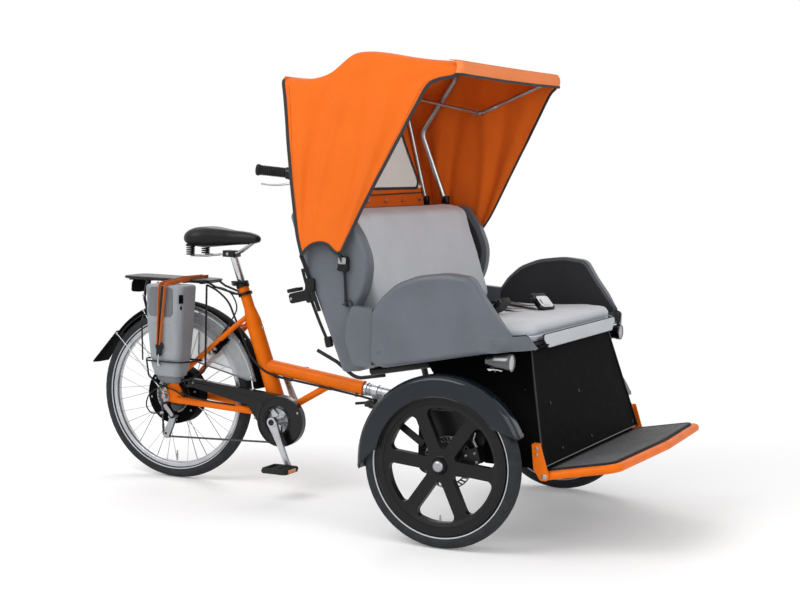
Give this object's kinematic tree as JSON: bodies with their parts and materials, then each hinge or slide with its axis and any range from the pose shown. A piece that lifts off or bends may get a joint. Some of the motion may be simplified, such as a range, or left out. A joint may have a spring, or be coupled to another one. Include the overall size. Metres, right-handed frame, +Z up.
{
  "type": "cycle rickshaw",
  "caption": "Pedal-driven passenger cycle: hooded double seat between front wheels on a swinging front unit, driven rear wheel, saddle, rack with battery and tilting footplate.",
  "frame": {"origin": "on the ground under the middle of the vehicle's bounding box", "axes": "+X forward, +Y to the left, +Z up"},
  "size_m": [2.1461, 1.122, 1.4765],
  "materials": {
    "frame_orange": "gloss",
    "frame_black": "satin",
    "bare_alloy": "satin",
    "steel": "satin",
    "tyre_rubber": "matte",
    "motor_black": "satin",
    "shell_grey": "satin",
    "panel_black": "satin",
    "deck_grey": "matte",
    "cushion_grey": "matte",
    "hood_orange": "matte",
    "saddle_black": "satin",
    "battery_grey": "matte",
    "smoked_clear": "gloss",
    "clear_guard": "gloss",
    "gloss_black": "gloss",
    "lamp_chrome": "gloss",
    "lamp_red": "gloss",
    "cable_black": "matte"
  },
  "bodies": {
    "rear_frame": {"main_frame": "frame_orange", "chain_stays": "frame_orange", "seat_stays": "frame_orange", "coupling": "bare_alloy", "seat_post": "bare_alloy", "saddle": "saddle_black", "rack": "frame_black", "battery_case": "battery_grey", "battery_cradle": "steel", "rear_fender": "panel_black", "coat_guard": "clear_guard", "rear_lamp": "lamp_red", "ring_lock": "panel_black", "chain_case": "gloss_black", "chain": "steel", "derailleur": "bare_alloy", "frame_cables": "cable_black"},
    "rear_wheel": {"rear_tyre": "tyre_rubber", "rear_rim": "bare_alloy", "hub_motor": "motor_black", "cassette": "steel"},
    "crank": {"crankset": "bare_alloy"},
    "right_pedal": {"pedal_right": "panel_black"},
    "left_pedal": {"pedal_left": "panel_black"},
    "front_unit": {"front_subframe": "frame_black", "front_box": "panel_black", "seat_tub": "shell_grey", "backrest_shell": "shell_grey", "seat_cushion": "cushion_grey", "back_cushion": "cushion_grey", "handlebar": "frame_black", "handlebar_controls": "cable_black", "hood_rear_cloth": "hood_orange", "hood_front_cloth": "hood_orange", "hood_main_bow": "bare_alloy", "hood_rear_frame": "bare_alloy", "front_fender_right": "smoked_clear", "front_fender_left": "smoked_clear", "fender_stays": "steel", "brake_calipers": "bare_alloy", "headlamps": "lamp_chrome", "release_lever": "steel", "footplate_brackets": "frame_orange"},
    "right_front_wheel": {"front_tyre_right": "tyre_rubber", "front_wheel_right": "frame_black", "brake_disc_right": "steel"},
    "left_front_wheel": {"front_tyre_left": "tyre_rubber", "front_wheel_left": "frame_black", "brake_disc_left": "steel"},
    "boarding_plate": {"footplate": "deck_grey", "footplate_rim": "frame_orange"},
    "hood_front": {"hood_front_bow": "bare_alloy"}
  },
  "joints": [
    {"name": "steering", "type": "hinge", "parent": "rear_frame", "child": "front_unit", "pos_m": [0.2851, 0, 0.339], "axis": [0, 0, 1], "range_deg": [-35, 35]},
    {"name": "right_front_wheel_spin", "type": "hinge", "parent": "front_unit", "child": "right_front_wheel", "pos_m": [0.5251, -0.525, 0.25], "axis": [0, 1, 0], "continuous": true},
    {"name": "left_front_wheel_spin", "type": "hinge", "parent": "front_unit", "child": "left_front_wheel", "pos_m": [0.5251, 0.525, 0.25], "axis": [0, 1, 0], "continuous": true},
    {"name": "rear_wheel_spin", "type": "hinge", "parent": "rear_frame", "child": "rear_wheel", "pos_m": [-0.7269, 0, 0.3], "axis": [0, 1, 0], "continuous": true},
    {"name": "crank_spin", "type": "hinge", "parent": "rear_frame", "child": "crank", "pos_m": [-0.2889, 0, 0.247], "axis": [0, 1, 0], "continuous": true},
    {"name": "right_pedal_spin", "type": "hinge", "parent": "crank", "child": "right_pedal", "pos_m": [-0.22382, 0, 0.10083], "axis": [0, 1, 0], "continuous": true},
    {"name": "left_pedal_spin", "type": "hinge", "parent": "crank", "child": "left_pedal", "pos_m": [-0.35398, 0, 0.39317], "axis": [0, 1, 0], "continuous": true},
    {"name": "footplate_tilt", "type": "hinge", "parent": "front_unit", "child": "boarding_plate", "pos_m": [0.8281, 0, 0.236], "axis": [0, 1, 0], "range_deg": [0, 70]},
    {"name": "hood_front_lift", "type": "hinge", "parent": "front_unit", "child": "hood_front", "pos_m": [0.2411, 0, 1.311], "axis": [0, -1, 0], "range_deg": [0, 55], "deforming": ["hood_front_cloth"]}
  ]
}
